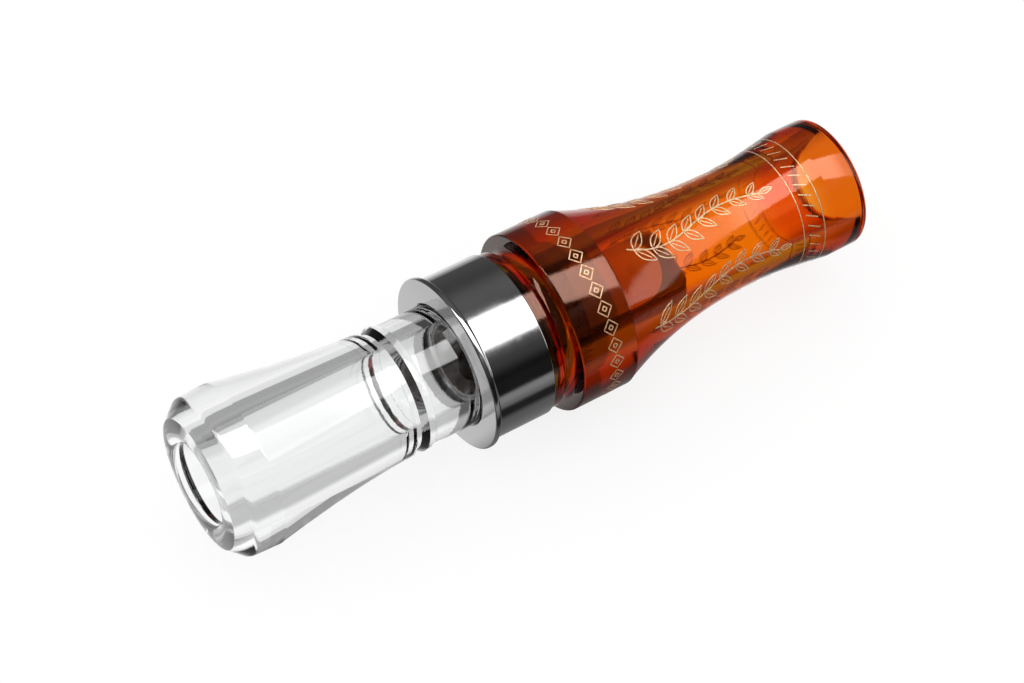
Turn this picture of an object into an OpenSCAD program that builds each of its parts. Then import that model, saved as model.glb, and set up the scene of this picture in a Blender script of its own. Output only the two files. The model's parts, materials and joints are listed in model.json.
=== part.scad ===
// Double reed bird call: a clear bell insert that plugs into an amber barrel.
// X runs along the call from the bell to the mouthpiece, Z is up.
// The call lies on its side and the origin is under the middle of its length.

/* [Bell] */
// Largest radius of the bell
bell_r = 15; // [14:0.1:16.5]
// Radius of the bell's front rim
rim_r = 12.2; // [11:0.1:13]
// How far the rim's edge lies behind the front of its rolled lip
rim_setback = 0.3; // [0.2:0.05:0.6]
// Length of the bevel from the rim to the bell's side
bevel_len = 2.8; // [1.5:0.1:4]
// How much smaller the bell is where the bevel meets its side
bell_fall = 0.25; // [0.1:0.05:0.6]
// Length of the bell's almost straight side
side_len = 5.4; // [4:0.1:8]
// Length of the bell's hollow taper
taper_len = 27.8; // [22:0.1:34]
// Radius where the taper ends
taper_end_r = 11.7; // [11.5:0.05:12.5]
// How strongly the taper is hollowed, where 1 is straight
taper_curve = 1.5; // [1:0.05:2.2]

/* [Exhaust] */
// Radius of the exhaust bore, from the bell to the tone board
exhaust_r = 7.55; // [7.2:0.05:7.6]
// How far the opening's edge lies behind the front of the rolled lip
exhaust_setback = 1; // [0.6:0.1:1.5]

/* [Neck] */
// Width of the small groove behind the bell
groove_w = 1.9; // [1.2:0.1:3]
// Radius at the groove's floor
groove_r = 11.1; // [10.6:0.05:11.3]
// Width of the raised bead
bead_w = 2.2; // [1.5:0.1:3]
// Radius of the raised bead
bead_r = 11.75; // [11.5:0.05:12.4]
// Radius of the plain neck
neck_r = 11.4; // [11.1:0.05:11.5]
// Length of the plain neck, up to the barrel's front face
neck_len = 10.6; // [8:0.1:14]

/* [Tenon and seals] */
// Length of the tenon that plugs into the barrel
tenon_len = 12; // [10.5:0.5:18]
// Clearance between the tenon and its socket in the barrel
tenon_gap = 0.1; // [0.05:0.01:0.2]
// Thickness of the sealing rings
seal_d = 1.2; // [1:0.05:1.4]
// Distance of each sealing ring from its end of the tenon
seal_inset = 3.2; // [2.4:0.1:3.8]
// Clearance that a sealing ring has in its groove and in the socket
seal_gap = 0.02; // [0.01:0.01:0.05]
// Step from the tone board's spigot down to the exhaust bore
spigot_step = 0.35; // [0.3:0.05:0.45]

/* [Tone board] */
// Length of the collar behind the tenon
base_len = 1.5; // [1:0.1:4]
// Clearance between the tone board and the barrel, at the collar and at the tongue
board_gap = 0.2; // [0.1:0.05:0.4]
// Length of the seat that holds the reeds and the wedge
seat_len = 8.5; // [7:0.5:12]
// Length of the sloping face that the reeds beat on
facing_len = 22; // [16:0.5:26]
// Slope of that face, in degrees
facing_angle = 2.6; // [2.6:0.1:3.5]
// Height of the reed seat above the call's axis
reed_level = 1; // [0.4:0.1:1.6]
// Width of the tone board beside the sloping face
board_w = 14.2; // [13.4:0.1:14.6]
// Radius of the air channel
channel_r = 3.6; // [2.6:0.1:4]
// How far the air channel stops short of the tip
channel_stop = 5; // [4:0.1:8]
// Radius of the air channel's flared mouth
channel_mouth_r = 6.7; // [6:0.1:7]
// Depth of that flared mouth
channel_mouth_len = 8; // [5:0.5:10]
// Rounding of the tip's corners, seen from above
tip_round = 2.8; // [1.5:0.1:5]

/* [Reeds and wedge] */
// How far the long reed stays inside each edge of the tone board
reed_margin = 0.2; // [0.1:0.05:0.8]
// Thickness of the long reed
long_reed_t = 0.35; // [0.25:0.05:0.5]
// Thickness of the short reed
short_reed_t = 0.25; // [0.2:0.05:0.4]
// How much shorter the short reed is
short_reed_cut = 3.3; // [2:0.1:7]
// How much narrower the short reed is
short_reed_trim = 0.3; // [0:0.1:1.2]
// Clearance between the reeds and the wedge
wedge_gap = 0.05; // [0.03:0.01:0.1]

/* [Barrel] */
// Radius of the bore that runs from the tenon's socket to the mouthpiece
bore_r = 7.95; // [7.9:0.05:8.3]
// Radius of the socket for the tenon
socket_r = 10; // [9.8:0.05:10.3]
// Length left in the socket behind the tone board's collar
socket_spare = 0.5; // [0.3:0.1:1.5]
// Length of the seat under the metal band
band_seat_len = 11.2; // [9:0.1:15]
// Radius of the seat under the metal band
band_seat_r = 14.5; // [13.8:0.1:14.8]
// Width of the plain land behind the band
land_len = 2.1; // [1:0.1:4]
// How far that land stands above the band's seat
land_rise = 0.4; // [0.3:0.05:0.8]
// Width of the round lanyard groove
cord_groove_w = 2.8; // [2:0.1:4]
// Radius of the shoulder
shoulder_r = 17; // [16.8:0.1:19]
// Length of the shoulder
shoulder_len = 11.3; // [8:0.1:16]
// Distance from the shoulder to the narrowest place
waist_run = 32.1; // [24:0.1:40]
// Radius at the narrowest place
waist_r = 10.87; // [10:0.01:12]
// How fast the waist is drawn in behind the shoulder, where 1 is straight
waist_curve = 2.25; // [1.5:0.05:3]
// Distance from the narrowest place to the mouthpiece
flare_run = 14.8; // [10:0.1:20]
// How late the mouthpiece flares, where 1 is straight
flare_curve = 1.6; // [1.2:0.05:2.5]

/* [Mouthpiece] */
// Outer radius of the mouthpiece
mouth_r = 12.45; // [12:0.05:14]
// Length of the mouthpiece's straight end
mouth_len = 7.2; // [4:0.1:12]
// How much wider than the rest of the bore its end at the mouthpiece is, in radius
mouth_step = 0.35; // [0.3:0.05:0.8]
// Depth of that wider end
mouth_bore_len = 12; // [8:0.1:14]
// Rounding of the mouthpiece's outer lip
lip_round = 1.2; // [0.6:0.1:1.6]
// Rounding of the mouthpiece's inner lip
inner_lip_round = 0.8; // [0.4:0.1:1]

/* [Band] */
// Wall of the band's ring
band_wall = 0.88; // [0.7:0.01:1.2]
// How far the flange stands above the ring
flange_rise = 0.89; // [0.5:0.01:1.2]
// Thickness of the flange at its rim
flange_t = 1.1; // [0.8:0.05:1.6]
// Thickness of the band's front plate
plate_t = 1.6; // [1.2:0.1:2.4]
// Clearance between the insert's neck and the band
neck_gap = 0.15; // [0.08:0.01:0.3]
// Rounding where the flange meets the band
band_fillet = 0.5; // [0.2:0.05:0.7]

/* [Hidden] */

// Number of straight steps in a quarter of a rounded edge, and in a long curve
round_steps = 6;
curve_steps = 28;
$fn = 96;

// Small edge roundings, and one overrun for every cut
edge_round = 0.35;
fine_round = 0.2;
overrun = 0.5;

// Places along the axis, counted from the front of the bell
bevel_end_x = rim_setback + bevel_len;
side_end_x = bevel_end_x + side_len;
taper_end_x = side_end_x + taper_len;
bead_x = taper_end_x + groove_w;
neck_x = bead_x + bead_w;
barrel_x = neck_x + neck_len;
flange_x = barrel_x - plate_t;
band_end_x = barrel_x + band_seat_len;
cord_groove_x = band_end_x + land_len;
shoulder_x = cord_groove_x + cord_groove_w;
shoulder_end_x = shoulder_x + shoulder_len;
waist_x = shoulder_end_x + waist_run;
mouth_x = waist_x + flare_run;
overall_len = mouth_x + mouth_len;

// Radii that follow from the band's seat, and the height of the call's axis
land_r = band_seat_r + land_rise;
band_r = band_seat_r + band_wall;
flange_r = band_r + flange_rise;
axis_z = max(shoulder_r, land_r, flange_r, bell_r, mouth_r);

// The mouthpiece's bore and lips, whose roundings leave some of its end flat
mouth_bore_r = bore_r + mouth_step;
mouth_wall = mouth_r - mouth_bore_r;
outer_lip_share = 0.5;
inner_lip_share = 0.4;
outer_lip = min(lip_round, mouth_wall * outer_lip_share);
inner_lip = min(inner_lip_round, mouth_wall * inner_lip_share);

// The insert's tenon
tenon_end_x = barrel_x + tenon_len;
tenon_r = socket_r - tenon_gap;

// Sealing rings and their grooves
seal_mid_r = socket_r - seal_gap - seal_d / 2;
seal_floor_r = seal_mid_r - seal_d / 2 - seal_gap;
seal_side_gap = 0.25;
seal_groove_w = seal_d + 2 * seal_side_gap;
front_seal_x = barrel_x + seal_inset;
rear_seal_x = tenon_end_x - seal_inset;

// The tone board's spigot reaches from the end of the tenon to just before the barrel's front face
spigot_reach = 0.6;
spigot_x = barrel_x - spigot_reach;
spigot_r = exhaust_r + spigot_step;

// Tone board, with its collar in the socket and its tongue in the bore
collar_r = socket_r - board_gap;
board_r = bore_r - board_gap;
seat_x = tenon_end_x + base_len;
facing_x = seat_x + seat_len;
tip_x = facing_x + facing_len;
tip_drop = facing_len * tan(facing_angle);
channel_depth_share = 0.8;
channel_z = reed_level - channel_r * channel_depth_share;

// The socket ends in a cone at half a right angle
socket_end_x = seat_x + socket_spare;
bore_x = socket_end_x + socket_r - bore_r;

// Reeds and wedge
reed_w = board_w - 2 * reed_margin;
reed_end_gap = 0.3;
reed_tip_gap = 0.5;
reed_x = seat_x + reed_end_gap;
long_reed_end_x = tip_x - reed_tip_gap;
short_reed_end_x = long_reed_end_x - short_reed_cut;
short_reed_w = reed_w - short_reed_trim;
short_tip_share = 0.98;
wedge_level = reed_level + long_reed_t + short_reed_t + wedge_gap;
wedge_spare_angle = 0.4;
wedge_relief_angle = facing_angle + wedge_spare_angle;
dimple_r = 0.9;
dimple_back_share = 0.3;

// Points of a rounding about a centre, between two angles, as [radius, place along the axis],
// or as [place along the axis, place across it] in a plan
function arc(r, x, size, from, to) =
    [for (i = [0 : round_steps]) let (a = from + (to - from) * i / round_steps)
        [r + size * cos(a), x + size * sin(a)]];

// A curve from one radius to another that levels out at its end, without its first point
function sweep(x0, r0, x1, r1, curve) =
    [for (i = [1 : curve_steps]) let (t = i / curve_steps)
        [r1 + (r0 - r1) * pow(1 - t, curve), x0 + (x1 - x0) * t]];

// The same curve, level at its start in place of its end
function flare(x0, r0, x1, r1, curve) =
    [for (i = [1 : curve_steps]) let (t = i / curve_steps)
        [r0 + (r1 - r0) * pow(t, curve), x0 + (x1 - x0) * t]];

// The rolled lip between the exhaust opening and the rim: a half oval
function rolled_lip() =
    [for (i = [0 : curve_steps]) let (a = 180 * i / curve_steps, t = i / curve_steps)
        [(exhaust_r + rim_r) / 2 - (rim_r - exhaust_r) / 2 * cos(a),
         (exhaust_setback + (rim_setback - exhaust_setback) * t) * (1 - sin(a))]];

// The raised bead between the groove and the neck: a half oval
function bead() =
    [for (i = [0 : 2 * round_steps])
        let (a = 90 * i / round_steps, foot = groove_r + (neck_r - groove_r) * (1 - cos(a)) / 2)
        [foot + (bead_r - foot) * sin(a), bead_x + bead_w * (1 - cos(a)) / 2]];

// Puts a piece drawn along the call's axis at its place in the part
module placed() {
    translate([-overall_len / 2, 0, axis_z]) children();
}

// Turns an outline of [radius, place along the axis] points about the call's axis
module turned(outline) {
    placed() rotate([0, 90, 0]) rotate_extrude() polygon(outline);
}

// A solid rod on the call's axis
module rod(x0, x1, r) {
    translate([x0, 0, 0]) rotate([0, 90, 0]) cylinder(h = x1 - x0, r = r);
}

// A plate whose side view is an outline of [place along the axis, height] points
module side_plate(outline, width) {
    translate([0, width / 2, 0]) rotate([90, 0, 0]) linear_extrude(width) polygon(outline);
}

// The plan of a tongue from one place along the axis to another, with a rounded free end
module tongue(x0, x1, width, round_r) {
    polygon(concat([[x0, -width / 2]],
                   arc(x1 - round_r, round_r - width / 2, round_r, -90, 0),
                   arc(x1 - round_r, width / 2 - round_r, round_r, 0, 90),
                   [[x0, width / 2]]));
}

// A square groove in the tenon for one sealing ring
function seal_groove(x) = [
    [tenon_r, x - seal_groove_w / 2],
    [seal_floor_r, x - seal_groove_w / 2],
    [seal_floor_r, x + seal_groove_w / 2],
    [tenon_r, x + seal_groove_w / 2]];

// The insert from its rolled lip to the end of its tenon, then back through its bore
function insert_outline() = concat(
    rolled_lip(),
    [[bell_r - bell_fall, bevel_end_x]],
    flare(bevel_end_x, bell_r - bell_fall, side_end_x, bell_r, 1 / taper_curve),
    sweep(side_end_x, bell_r, taper_end_x, taper_end_r, taper_curve),
    [[groove_r + fine_round, taper_end_x + fine_round]],
    [[groove_r, taper_end_x + edge_round]],
    bead(),
    [[neck_r, barrel_x - fine_round], [neck_r - fine_round, barrel_x], [tenon_r, barrel_x]],
    seal_groove(front_seal_x),
    seal_groove(rear_seal_x),
    [[tenon_r, tenon_end_x - edge_round], [tenon_r - edge_round, tenon_end_x]],
    [[spigot_r, tenon_end_x], [spigot_r, spigot_x], [exhaust_r, spigot_x]]);

module insert() {
    color([0.93, 0.94, 0.95, 0.5])
    turned(insert_outline());
}

// A sealing ring, round in section, at a given place along the axis
module o_ring(x) {
    color([0.06, 0.06, 0.06])
    placed() translate([x, 0, 0]) rotate([0, 90, 0])
        rotate_extrude() translate([seal_mid_r, 0]) circle(r = seal_d / 2);
}

module front_o_ring() {
    o_ring(front_seal_x);
}

module rear_o_ring() {
    o_ring(rear_seal_x);
}

// The tone board: a spigot pressed into the tenon, a collar behind it, and a half round tongue
module tone_board() {
    below = 2 * board_r;
    color([0.2, 0.14, 0.1])
    placed()
    difference() {
        union() {
            rod(spigot_x, tenon_end_x, spigot_r);
            rod(tenon_end_x, seat_x, collar_r);
            intersection() {
                rod(tenon_end_x, facing_x, board_r);
                side_plate([[tenon_end_x, -below], [facing_x, -below],
                            [facing_x, reed_level], [tenon_end_x, reed_level]], 2 * below);
            }
            intersection() {
                rod(seat_x, tip_x, board_r);
                side_plate([[seat_x, -below], [tip_x, -below],
                            [tip_x, reed_level - tip_drop], [facing_x, reed_level],
                            [seat_x, reed_level]], board_w);
                translate([0, 0, -below]) linear_extrude(2 * below)
                    tongue(seat_x, tip_x, board_w, tip_round);
            }
        }
        translate([0, 0, channel_z]) rod(spigot_x - overrun, tip_x - channel_stop, channel_r);
        translate([seat_x, -channel_r, channel_z])
            cube([seat_len + facing_len - channel_stop, 2 * channel_r, below]);
        translate([spigot_x, 0, 0]) rotate([0, 90, 0])
            cylinder(h = channel_mouth_len, r1 = channel_mouth_r, r2 = channel_r / 2);
    }
}

// A flat reed from its tail under the wedge to its rounded free end
module reed(end_x, width, level, thickness, round_r) {
    placed() translate([0, 0, level]) linear_extrude(thickness)
        tongue(reed_x, end_x, width, round_r);
}

module long_reed() {
    color([0.85, 0.87, 0.88])
    reed(long_reed_end_x, reed_w, reed_level, long_reed_t, tip_round - reed_margin);
}

// The short reed lies on the long one. It has a half round end and a small punched hole
module short_reed() {
    hole_x = short_reed_end_x - (short_reed_end_x - reed_x) * dimple_back_share;
    hole_depth = long_reed_t + short_reed_t + overrun;
    tip_r = short_reed_w / 2 * short_tip_share;
    color([0.95, 0.95, 0.93])
    difference() {
        reed(short_reed_end_x, short_reed_w, reed_level + long_reed_t, short_reed_t, tip_r);
        placed() translate([hole_x, 0, reed_level]) cylinder(h = hole_depth, r = dimple_r);
    }
}

// The wedge holds the reeds down at its front edge and is relieved towards their tails
module wedge() {
    relief = (seat_len - reed_end_gap) * tan(wedge_relief_angle);
    above = 2 * board_r;
    color([0.72, 0.53, 0.34])
    placed()
    intersection() {
        rod(reed_x, facing_x, board_r);
        side_plate([[reed_x, wedge_level + relief], [facing_x, wedge_level],
                    [facing_x, above], [reed_x, above]], 2 * above);
    }
}

// The barrel's outside, from the band's seat to the mouthpiece, then back through its bore and socket
function barrel_outline() = concat(
    [[band_seat_r - fine_round, barrel_x], [band_seat_r, barrel_x + fine_round]],
    [[band_seat_r, band_end_x]],
    [[land_r, band_end_x]],
    cord_groove(),
    [[shoulder_r - edge_round, shoulder_x], [shoulder_r, shoulder_x + edge_round]],
    [[shoulder_r, shoulder_end_x - edge_round]],
    [[shoulder_r - fine_round, shoulder_end_x]],
    sweep(shoulder_end_x, shoulder_r - fine_round, waist_x, waist_r, waist_curve),
    flare(waist_x, waist_r, mouth_x, mouth_r, flare_curve),
    arc(mouth_r - outer_lip, overall_len - outer_lip, outer_lip, 0, 90),
    arc(mouth_bore_r + inner_lip, overall_len - inner_lip, inner_lip, 90, 180),
    [[mouth_bore_r, overall_len - mouth_bore_len]],
    [[bore_r, overall_len - mouth_bore_len - mouth_step]],
    [[bore_r, bore_x], [socket_r, socket_end_x]],
    [[socket_r, barrel_x + edge_round], [socket_r + edge_round, barrel_x]]);

// The lanyard groove is a half round cut between the land and the shoulder
function cord_groove() =
    [for (i = [0 : 2 * round_steps]) let (a = 180 * i / (2 * round_steps))
        [land_r - cord_groove_w / 2 * sin(a),
         cord_groove_x + cord_groove_w / 2 - cord_groove_w / 2 * cos(a)]];

module barrel() {
    color([0.78, 0.32, 0.04, 0.75])
    turned(barrel_outline());
}

// The metal band: a plate with a flange in front of a plain ring
function band_outline() = concat(
    [[neck_r + neck_gap + fine_round, flange_x]],
    arc(flange_r - edge_round, flange_x + edge_round, edge_round, -90, 0),
    arc(flange_r - edge_round, flange_x + flange_t - edge_round, edge_round, 0, 90),
    band_root(),
    [[band_r, band_end_x - fine_round], [band_r - fine_round, band_end_x]],
    [[band_seat_r, band_end_x], [band_seat_r, barrel_x]],
    [[neck_r + neck_gap, barrel_x], [neck_r + neck_gap, flange_x + fine_round]]);

// The hollow fillet behind the flange
function band_root() =
    [for (i = [0 : round_steps]) let (a = 90 * i / round_steps)
        [band_r + band_fillet * (1 - sin(a)), flange_x + flange_t + band_fillet * (1 - cos(a))]];

module band() {
    color([0.42, 0.42, 0.44])
    turned(band_outline());
}

barrel();
band();
insert();
tone_board();
long_reed();
short_reed();
wedge();
front_o_ring();
rear_o_ring();
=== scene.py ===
"""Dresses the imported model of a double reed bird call: acrylic, metal, cork, film, engraving and studio."""

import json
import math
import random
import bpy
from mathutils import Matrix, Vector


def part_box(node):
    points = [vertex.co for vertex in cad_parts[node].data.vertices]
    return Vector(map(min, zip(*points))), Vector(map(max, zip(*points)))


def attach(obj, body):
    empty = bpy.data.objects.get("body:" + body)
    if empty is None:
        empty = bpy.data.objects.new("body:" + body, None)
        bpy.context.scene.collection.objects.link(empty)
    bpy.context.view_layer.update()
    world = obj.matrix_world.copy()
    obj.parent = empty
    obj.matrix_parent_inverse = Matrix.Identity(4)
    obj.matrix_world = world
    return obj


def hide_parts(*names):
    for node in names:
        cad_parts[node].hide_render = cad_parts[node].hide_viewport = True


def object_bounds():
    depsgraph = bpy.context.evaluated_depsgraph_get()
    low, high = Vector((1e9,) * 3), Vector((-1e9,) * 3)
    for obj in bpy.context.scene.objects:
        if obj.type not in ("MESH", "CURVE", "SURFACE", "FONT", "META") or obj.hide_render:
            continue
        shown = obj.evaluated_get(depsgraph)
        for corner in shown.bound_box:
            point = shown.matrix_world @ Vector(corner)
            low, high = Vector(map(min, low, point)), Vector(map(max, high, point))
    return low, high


bl_info = {
    "name": "Bird Call",
    "version": (1, 0, 0),
    "blender": (4, 5, 0),
    "location": "3D View > Sidebar > Bird Call",
    "description": "Builds an acrylic bird call piece by piece around its packed frame",
    "category": "Object",
}

import bmesh
import bpy
from bpy.props import FloatProperty, FloatVectorProperty, IntProperty, PointerProperty
from bpy.types import Operator, Panel, PropertyGroup
from mathutils import Matrix, Vector

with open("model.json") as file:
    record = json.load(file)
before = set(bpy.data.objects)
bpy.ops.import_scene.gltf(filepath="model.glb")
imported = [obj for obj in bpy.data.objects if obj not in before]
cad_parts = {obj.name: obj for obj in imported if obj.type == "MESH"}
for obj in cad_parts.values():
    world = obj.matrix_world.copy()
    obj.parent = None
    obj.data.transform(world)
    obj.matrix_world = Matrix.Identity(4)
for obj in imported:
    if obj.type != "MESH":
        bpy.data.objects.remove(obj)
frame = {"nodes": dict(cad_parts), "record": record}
CAD_LOW, CAD_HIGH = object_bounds()
BOX = {name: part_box(name) for name in frame["nodes"]}

MM = 0.001
# Steps round a turned piece, along a long curve, and in a quarter of a rounded edge
ROUND_STEPS = 256
CURVE_STEPS = 64
EDGE_STEPS = 8
# Steps round an engraved ring, along a lozenge's side, a stem and a leaf
RING_STEPS = 180
SIDE_STEPS = 4
STEM_STEPS = 40
LEAF_STEPS = 9
# Degrees past which an edge is shaded sharp, on hard pieces and on the cork
SHARP_ANGLE = 30
CORK_SHARP_ANGLE = 50
# Starts the cork's chance dents
CORK_SEED = 7
# Small roundings of the turned pieces
EDGE = 0.35 * MM
FINE = 0.2 * MM
# How far apart two faces stay that touch and turn on each other
TOUCH = 0.02 * MM
# Where across the bead its highest place lies, and how far a film's edge is eased by its thickness
BEAD_CREST_SHARE = 0.3
FILM_EASE_SHARE = 0.2
WHITE = (1.0, 1.0, 1.0)


def across(node):
    """Half of a turned node's width: its largest radius."""
    low, high = BOX[node]
    return (high.y - low.y) / 2


def reach(node):
    """The largest radius that stays inside a turned node's box on every side."""
    low, high = BOX[node]
    return min(across(node), high.z - AXIS_Z, AXIS_Z - low.z)


# Places along the axis are counted from the front of the bell
JOINTS = {joint["name"]: joint for joint in frame["record"]["behaviour"]["joints"]}
FRONT_X = BOX["insert"][0].x
AXIS_Z = JOINTS["insert_turn"]["pos_m"][2]
BARREL_START = BOX["barrel"][0].x - FRONT_X
BARREL_END = BOX["barrel"][1].x - FRONT_X
BAND_START = BOX["band"][0].x - FRONT_X
BAND_END = BOX["band"][1].x - FRONT_X
TENON_END = BOX["insert"][1].x - FRONT_X
SPIGOT_START = BOX["tone_board"][0].x - FRONT_X


def length(name, description, millimetres):
    """A size that a user would change, shown in the scene's length unit."""
    return FloatProperty(name=name, description=description, default=millimetres * MM,
                         min=0.0, precision=5, unit="LENGTH", subtype="DISTANCE")


def colour(name, description, value):
    """A colour that a user would change."""
    return FloatVectorProperty(name=name, description=description, default=value,
                               min=0.0, max=1.0, size=3, subtype="COLOR")


def factor(name, description, value, highest=1.0):
    """A plain number from 0 to its highest value."""
    return FloatProperty(name=name, description=description, default=value, min=0.0, max=highest)


def turn(name, description, degrees):
    """An angle that a user would change, kept in radians."""
    return FloatProperty(name=name, description=description, default=math.radians(degrees), subtype="ANGLE")


def number(name, description, value):
    """How many there are of something."""
    return IntProperty(name=name, description=description, default=value, min=1)


class BellSettings(PropertyGroup):
    """Sizes of the clear insert."""

    rim_radius: length("Rim Radius", "Radius of the bell's front rim", 12.2)
    rim_setback: length("Rim Setback", "How far the rim lies behind its rolled lip", 0.3)
    bevel_length: length("Bevel Length", "Length of the bevel behind the rim", 2.8)
    bevel_fall: length("Bevel Fall", "How much smaller the bell is at the bevel's end", 0.25)
    side_length: length("Side Length", "Length of the bell's almost straight side", 5.4)
    taper_length: length("Taper Length", "Length of the bell's hollow taper", 27.8)
    taper_end_radius: length("Taper End", "Radius where the taper ends", 11.7)
    taper_curve: factor("Taper Curve", "How strongly the taper is hollowed", 1.5, 3.0)
    corner_round: length("Corner Round", "How far the corner behind the bevel is rounded", 0.5)
    exhaust_radius: length("Exhaust Radius", "Radius of the exhaust bore", 7.55)
    exhaust_setback: length("Exhaust Setback", "How far its edge lies behind the lip", 1.0)
    groove_width: length("Groove Width", "Width of the groove behind the bell", 1.9)
    groove_radius: length("Groove Radius", "Radius at the groove's floor", 11.1)
    bead_width: length("Bead Width", "Width of the raised bead", 2.2)
    bead_radius: length("Bead Radius", "Radius of the raised bead", 11.75)
    bead_ramp: length("Bead Ramp", "Width of the slope in front of the bead", 1.2)
    bead_foot: length("Bead Foot", "Radius at the foot of that slope", 10.9)
    neck_radius: length("Neck Radius", "Radius of the plain neck", 11.4)
    tenon_radius: length("Tenon Radius", "Radius of the tenon inside the barrel", 9.9)
    spigot_radius: length("Spigot Radius", "Radius of the tone board's seat", 7.9)
    seal_floor_radius: length("Seal Floor", "Radius at the floor of a seal's groove", 8.76)
    seal_groove_width: length("Seal Groove", "Width of a seal's groove", 1.7)


class BarrelSettings(PropertyGroup):
    """Sizes of the amber barrel."""

    seat_radius: length("Seat Radius", "Radius under the metal band", 14.5)
    land_length: length("Land Length", "Width of the land behind the band", 2.1)
    land_radius: length("Land Radius", "Radius of that land", 14.9)
    groove_width: length("Groove Width", "Width of the round lanyard groove", 2.8)
    shoulder_length: length("Shoulder Length", "Length of the shoulder", 11.3)
    waist_run: length("Waist Run", "From the shoulder to the narrowest place", 32.1)
    waist_radius: length("Waist Radius", "Radius at the narrowest place", 10.87)
    waist_curve: factor("Waist Curve", "How fast the waist is drawn in", 2.25, 4.0)
    flare_run: length("Flare Run", "From the narrowest place to the mouthpiece", 14.8)
    flare_curve: factor("Flare Curve", "How late the mouthpiece flares", 1.6, 4.0)
    mouth_radius: length("Mouth Radius", "Outer radius of the mouthpiece", 12.45)
    socket_radius: length("Socket Radius", "Radius of the tenon's socket", 10.0)
    socket_length: length("Socket Length", "Length of that socket", 14.0)
    bore_radius: length("Bore Radius", "Radius of the bore behind the socket", 7.95)
    mouth_bore_radius: length("Mouth Bore", "Radius of the bore's wider end", 8.3)
    mouth_bore_length: length("Mouth Depth", "Depth of that wider end", 12.0)
    mouth_bore_taper: length("Mouth Taper", "Over how long the bore widens to it", 14.0)
    outer_lip: length("Outer Lip", "Rounding of the outer lip", 1.2)
    inner_lip: length("Inner Lip", "Rounding of the inner lip", 0.3)


class BandSettings(PropertyGroup):
    """Sizes of the metal band."""

    ring_radius: length("Ring Radius", "Outer radius of the band's ring", 15.38)
    flange_thickness: length("Flange", "Thickness of the flange at its rim", 1.1)
    hole_radius: length("Hole Radius", "Radius of the hole for the neck", 11.55)
    fillet: length("Fillet", "Rounding where the flange meets the ring", 0.5)


class InnerSettings(PropertyGroup):
    """Sizes of the pieces inside the barrel that their boxes don't give."""

    tip_round: length("Tip Round", "Rounding of the long reed's corners", 2.6)
    wedge_relief: length("Wedge Relief", "Height under the wedge's tail", 0.43)
    short_tip: factor("Short Tip", "How nearly half round the short reed's end is", 0.98)
    dent_radius: length("Dent Radius", "Radius of the ball that dents the short reed", 1.6)
    dent_depth: length("Dent Depth", "Depth of that dent", 0.14)
    dent_place: factor("Dent Place", "Where the dent lies along the reed", 0.7)
    cork_relief: length("Cork Relief", "How deep the cork's surface is uneven", 0.12)


class EngravingSettings(PropertyGroup):
    """Sizes of the filled line engraving."""

    line_width: length("Line Width", "Width of an engraved line", 0.3)
    line_rise: length("Line Rise", "How far the filling stands above the acrylic", 0.03)
    lozenges: number("Lozenges", "Lozenges round the shoulder", 30)
    lozenge_height: length("Lozenge Height", "Height of a lozenge along the barrel", 3.2)
    lozenge_place: factor("Lozenge Place", "Where the row lies along the shoulder", 0.6)
    sprays: number("Sprays", "Leaf sprays round the waist", 6)
    spray_turn: turn("Spray Turn", "How far round from the top the first spray lies", 20)
    spray_gap: length("Spray Gap", "From the shoulder to a spray's start", 5.0)
    spray_overlap: length("Spray Overlap", "How far a spray runs past the narrowest place", 3.0)
    stem_sway: length("Stem Sway", "How far a stem waves to each side", 1.3)
    leaf_pairs: number("Leaf Pairs", "Pairs of leaves on a spray", 8)
    leaf_length: length("Leaf Length", "Length of the first leaves", 4.9)
    leaf_loss: length("Leaf Loss", "How much shorter the last leaves are", 2.0)
    leaf_lean: turn("Leaf Lean", "How far the first leaves lean out", 44)
    lean_loss: turn("Lean Loss", "How much less the last leaves lean out", 8)
    end_leaf: length("End Leaf", "Length of the leaf at a stem's end", 2.6)
    strokes: number("Strokes", "Strokes round the mouthpiece", 36)
    stroke_length: length("Stroke Length", "Length of a stroke along the barrel", 2.2)
    stroke_place: length("Stroke Place", "How far before the flare's end the strokes lie", 4.5)
    front_ring_place: length("Front Ring", "How far before it the first ring lies", 6.6)
    rear_ring_place: length("Rear Ring", "How far before it the second ring lies", 2.4)


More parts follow.
